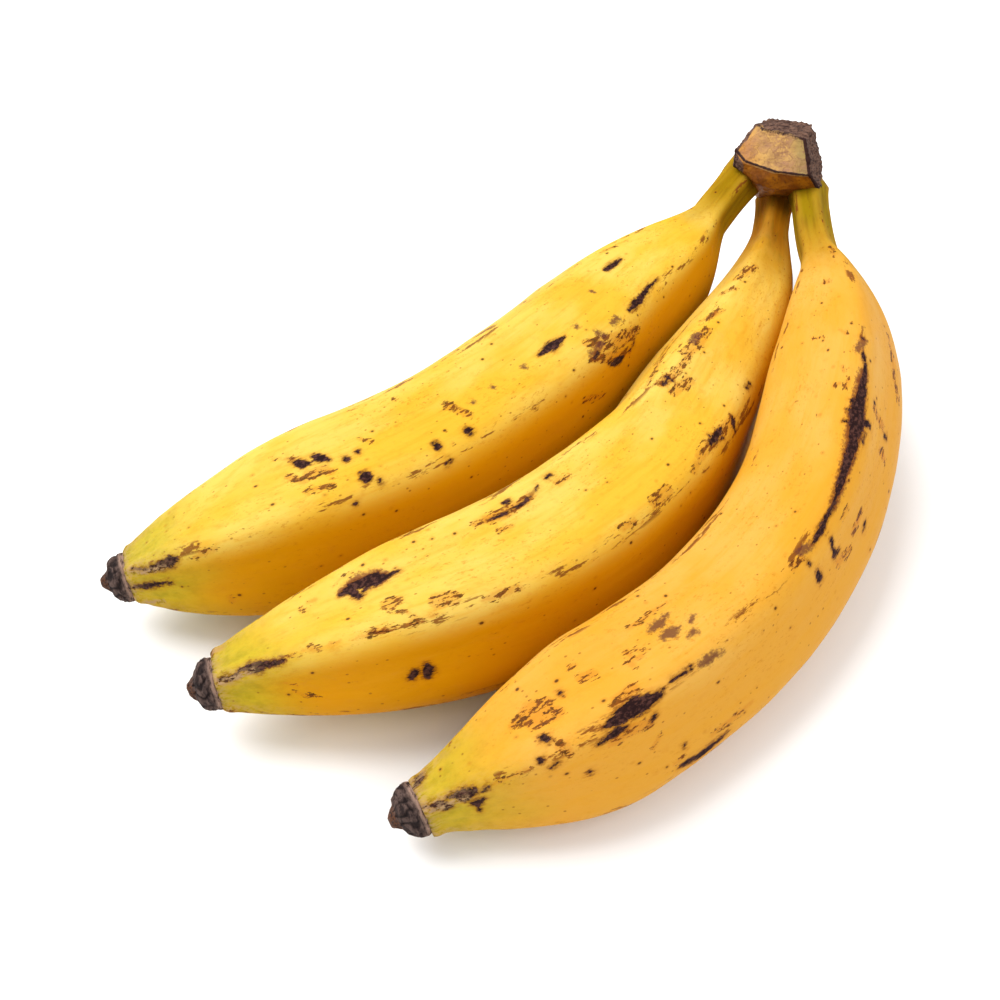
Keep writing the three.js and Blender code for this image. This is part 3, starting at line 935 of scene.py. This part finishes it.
# The crown's corners, from a point near the ends of the necks, as in the model's source.
CROWN_CENTRE = np.array([92.1, 117.9, 39.5])
CROWN_CORNERS = {
    "front_rim": [(-15.5, -2, 14), (-12.5, -6.5, 12), (-2.5, -12, 11), (8.5, -15.5, 11.5)],
    "slanted_cut_top": [(-6, 2.5, 19.5), (7.5, -4, 19)],
    "top_cut_back": [(-7, 10, 18), (1.5, 17.5, 16), (8, 15.5, 15), (12.5, 10.5, 17)],
    "right_side": [(11, 1.5, 16.5), (16, 1.5, 7.5), (15.5, -5.5, 2.5)],
    "lower_edge": [(-15.5, -3.5, 9), (-9, -10, 5.5), (-1.5, -11.5, 3.5), (12.5, -13.5, 5.5)],
    "back": [(-13, 11.5, 0), (-9, 13, -7), (-2.5, 6, -10.5), (8, 6, -10.5), (11, 14, -9), (18, 5.5, -4)],
}
CROWN_VOXEL = 0.34


def crown_block():
    """The crown's plain block: the hull of its corners."""
    block = bmesh.new()
    for group in CROWN_CORNERS.values():
        for corner in group:
            block.verts.new(np.array(corner) * MM)
    hull = bmesh.ops.convex_hull(block, input=block.verts)
    loose = [v for v in hull["geom_interior"] if isinstance(v, bmesh.types.BMVert)]
    bmesh.ops.delete(block, geom=loose, context="VERTS")
    bmesh.ops.recalc_face_normals(block, faces=block.faces)
    return block


def face_kind(normal):
    """Which part of the crown a face of its block belongs to, by the way it looks."""
    if normal[2] > 0.86:
        return "top"
    if normal[0] > 0.55:
        return "side"
    if normal[2] > 0.3 and normal[1] < 0.2:
        return "cut"
    return "band" if normal[1] < -0.2 else "back"


def depths_below(block, points):
    """For each kind of face of the block, how deep below those faces the points lie."""
    depths = {}
    for face in block.faces:
        normal = np.array(face.normal)
        depth = float(normal @ np.array(face.verts[0].co)) / MM - points @ normal
        kind = face_kind(normal)
        depths[kind] = np.minimum(depths.get(kind, np.inf), depth)
    return depths


def crown_zones(depths, points):
    """The cut face, the dried fibres and the dark seams along the edges, each from 0 to 1."""
    cut, top, side, band, back = [depths[kind] for kind in ("cut", "top", "side", "band", "back")]
    cut_face = 1 - smooth(cut, 0.3, 0.9)
    side_face = 1 - smooth(side, 0.4, 1.2)
    fibre = np.maximum((1 - smooth(top, 0.4, 1.4)) * (1 - 0.6 * cut_face), side_face)
    fibre = np.maximum(fibre, (1 - smooth(back, 0.5, 1.5)) * smooth(points[:, 2], 4, 9))
    left_end = (1 - smooth(points[:, 0], -14.0, -11.0)) * (1 - cut_face)
    fibre = np.maximum(fibre, 0.8 * left_end)
    rim = np.exp(-(cut ** 2 + band ** 2) / 0.14)
    rim = np.maximum(rim, 0.7 * np.exp(-(cut ** 2 + top ** 2) / 0.8))
    rim = np.maximum(rim, 0.8 * np.exp(-(band ** 2 + back ** 2) / 0.25))
    rim = np.maximum(rim, side_face * np.exp(-(np.minimum(cut, band) / 0.8) ** 2))
    return np.stack([cut_face, fibre, rim], axis=-1)


def vertex_rows(mesh, name):
    """A mesh's places or normals, as one row for each point."""
    rows = np.empty(len(mesh.vertices) * 3)
    mesh.vertices.foreach_get(name, rows)
    return rows.reshape(-1, 3)


def crown_piece():
    """The crown: its block in small even faces, raised into fibres, lumps and seams."""
    block = crown_block()
    mesh = bpy.data.meshes.new("crown_block")
    block.to_mesh(mesh)
    piece = bpy.data.objects.new("crown_piece", mesh)
    scene.collection.objects.link(piece)
    remesh = piece.modifiers.new("even", "REMESH")
    remesh.mode = "VOXEL"
    remesh.voxel_size = CROWN_VOXEL * MM
    depsgraph = bpy.context.evaluated_depsgraph_get()
    piece.data = bpy.data.meshes.new_from_object(piece.evaluated_get(depsgraph))
    piece.modifiers.clear()
    points = vertex_rows(piece.data, "co") / MM
    normals = vertex_rows(piece.data, "normal")
    zones = crown_zones(depths_below(block, points), points)
    block.free()

    fibre, rim = zones[:, 1], zones[:, 2]
    lumps = gradient_noise(points / 5, 71) * 0.45 + gradient_noise(points / (4, 4, 1.3), 72) * 0.4 * fibre
    lumps += gradient_noise(points / 1.3, 73) * (0.12 + 0.38 * fibre) + rim * 0.25
    points = points + normals * lumps[:, None]
    piece.data.vertices.foreach_set("co", ((points + CROWN_CENTRE) * MM).ravel())
    piece.data.update()
    piece.data.shade_smooth()
    add_field(piece, "straight", points)
    add_field(piece, "zones", zones)
    return piece


# The object's pieces.
for number, name in enumerate(FRUITS):
    skin = Fruit(name).build()
    skin.data.materials.append(skin_material(name, FRUITS[name], number + 1))
    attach(skin, "root")
    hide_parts("plantain_" + name)

dried = scar_material()
for name in FRUITS:
    scar = scar_piece(name)
    scar.data.materials.append(dried)
    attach(scar, "root")
    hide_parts("flower_scar_" + name)

crown = crown_piece()
crown.data.materials.append(crown_material())
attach(crown, "root")
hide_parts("crown")


# The white table.
def table_material():
    m = Shader("table")
    place = m.tree.nodes.new("ShaderNodeTexCoord").outputs["Object"]
    paper = m.noise(m.stretch(place, (40, 40, 40)), detail=3)
    m.set("Base Color", m.mix(paper, (0.84, 0.84, 0.84, 1), (0.86, 0.86, 0.86, 1)))
    m.set("Roughness", 0.7)
    m.set("Specular IOR Level", 0.2)
    return m.material


bpy.ops.mesh.primitive_plane_add(size=6, location=(0, 0, 0))
table = bpy.context.object
table.name = "table"
table.data.materials.append(table_material())


# Soft studio light: a large lamp high at the left, a weaker one at the right in front, and a white surround.
LAMPS = {
    "key": {"place": (-1.1, 0.52, 2.1), "size": 2.1, "power": 48},
    "fill": {"place": (0.9, -0.9, 1.2), "size": 1.2, "power": 6},
}
LAMPS_AIM = Vector((0, 0, 0.02))
SURROUND = 0.58

for name, lamp in LAMPS.items():
    light = bpy.data.lights.new(name, "AREA")
    light.shape = "SQUARE"
    light.size = lamp["size"]
    light.energy = lamp["power"] * LIGHT
    holder = bpy.data.objects.new(name, light)
    holder.location = lamp["place"]
    holder.rotation_euler = (LAMPS_AIM - Vector(lamp["place"])).to_track_quat("-Z", "Y").to_euler()
    scene.collection.objects.link(holder)

world = bpy.data.worlds.new("studio")
world.use_nodes = True
background = world.node_tree.nodes["Background"].inputs
background["Color"].default_value = (1, 1, 1, 1)
background["Strength"].default_value = SURROUND * LIGHT
scene.world = world
scene.view_settings.view_transform = "Standard"

camera_data = bpy.data.cameras.new("camera")
camera_data.sensor_width = SENSOR
camera_data.lens = FOCAL * SENSOR / IMAGE
camera = bpy.data.objects.new("camera", camera_data)
camera.location = Vector(CAMERA_PLACE * MM)
camera.rotation_euler = (math.pi / 2 - CAMERA_DOWN, 0, 0)
camera_data.clip_start = 0.01
camera_data.clip_end = 20
scene.collection.objects.link(camera)
scene.camera = camera
